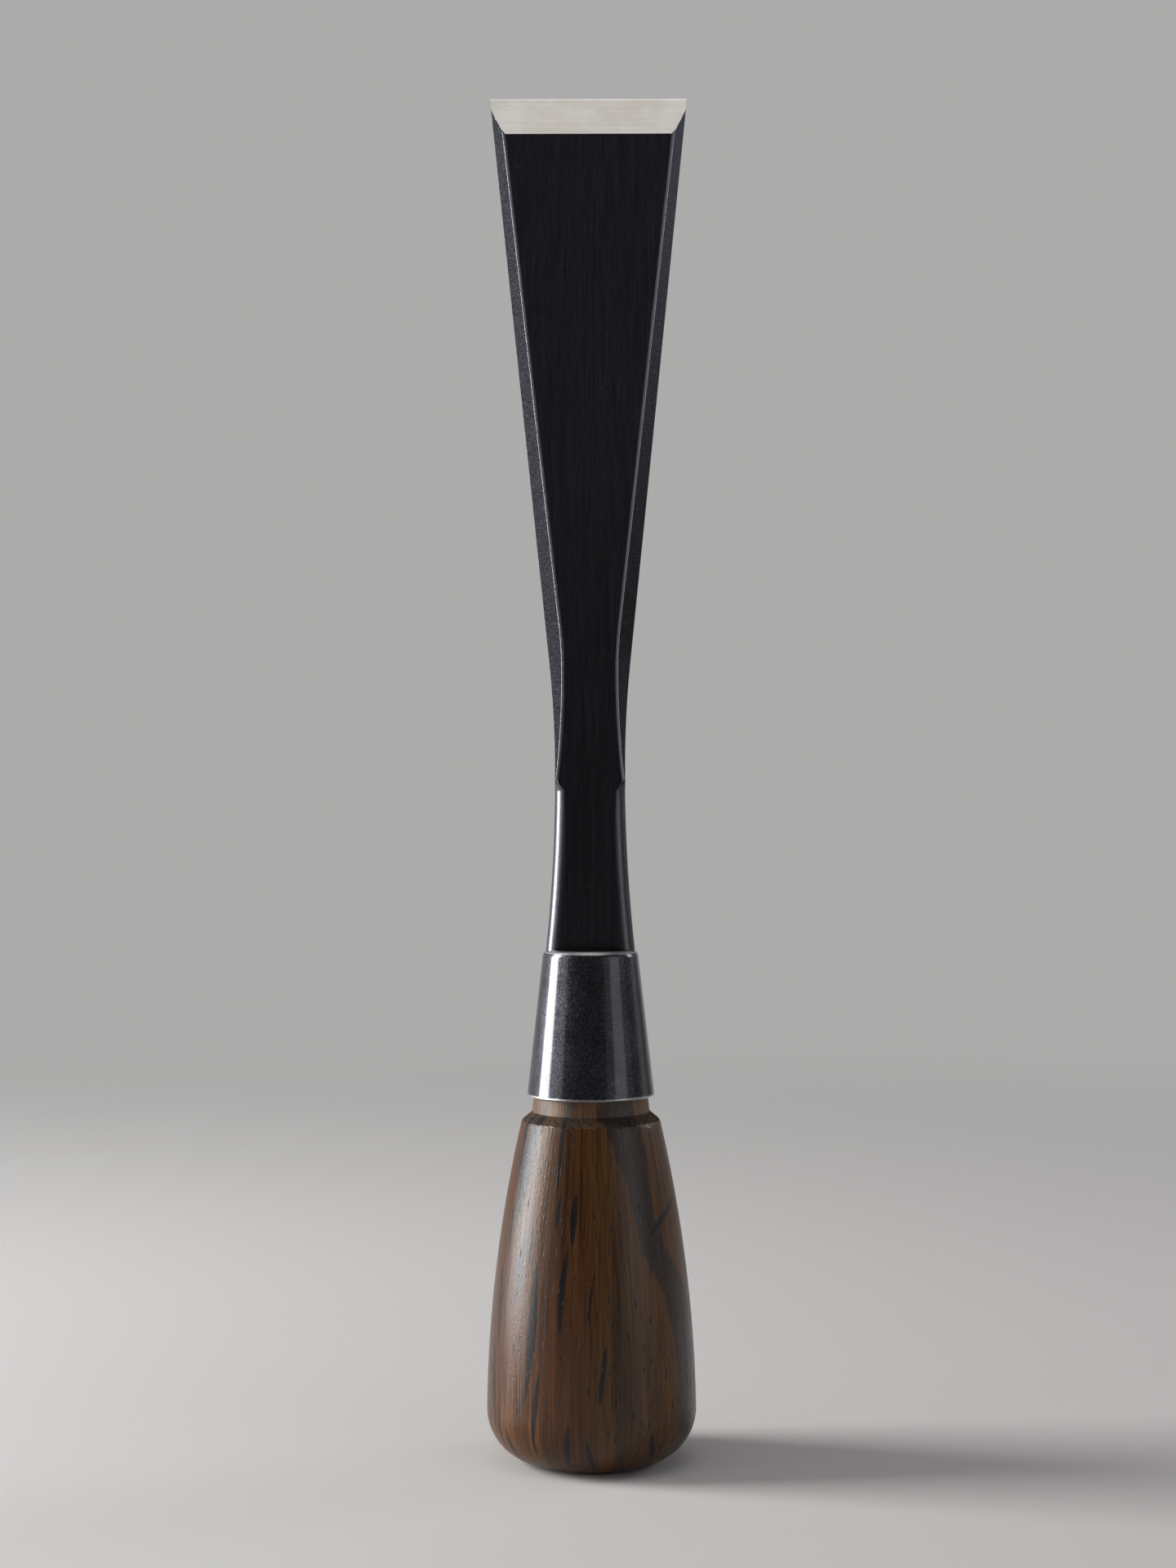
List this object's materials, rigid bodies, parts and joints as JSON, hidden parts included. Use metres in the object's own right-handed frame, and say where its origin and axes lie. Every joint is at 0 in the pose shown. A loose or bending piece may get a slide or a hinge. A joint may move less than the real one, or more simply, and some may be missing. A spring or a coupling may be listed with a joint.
{
  "type": "socket chisel",
  "caption": "Socket chisel: a flared bevel-edge steel blade with a narrow waist and a flat rounded neck, a conical steel socket and a turned pear-shaped wooden handle.",
  "frame": {"origin": "centre of the butt of the handle, on the surface that the chisel stands on", "axes": "+Z along the tool axis from the butt to the cutting edge, -Y out of the bevelled front face, +Y out of the flat back, +X along the cutting edge"},
  "size_m": [0.0402, 0.0402, 0.262],
  "materials": {
    "handle_wood": "oiled, satin, dark streaks along the grain",
    "socket_steel": "blackened, fine tumbled texture, bright edges",
    "blade_steel": "blackened and brushed lengthwise, ground bright at the main bevel and along the arrises"
  },
  "bodies": {
    "grip": {"handle": "handle_wood"},
    "steel": {"blade": "blade_steel", "socket": "socket_steel"}
  },
  "joints": [
    {"name": "handle_taper", "type": "slide", "parent": "grip", "child": "steel", "axis": [0, 0, 1], "range_m": [0, 0.03]}
  ]
}
